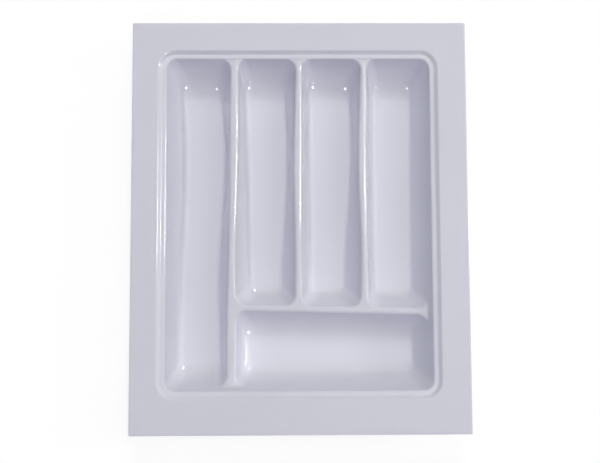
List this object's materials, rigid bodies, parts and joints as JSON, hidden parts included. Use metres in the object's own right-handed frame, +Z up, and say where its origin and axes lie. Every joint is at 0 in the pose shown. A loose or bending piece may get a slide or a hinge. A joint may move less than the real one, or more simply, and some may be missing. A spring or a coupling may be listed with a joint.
{
  "type": "cutlery tray",
  "caption": "Drawer insert formed from one glossy white plastic sheet: a flat flange around a stepped basin with long, short and wide cutlery compartments.",
  "frame": {"origin": "centre of the flange's outline, on the plane that the compartments' floors rest on", "axes": "+X to the right, +Y to the back of the drawer, +Z up out of the open compartments"},
  "size_m": [0.4, 0.49, 0.05],
  "materials": {
    "tray_plastic": "gloss"
  },
  "bodies": {
    "root": {"tray": "tray_plastic"}
  },
  "joints": []
}
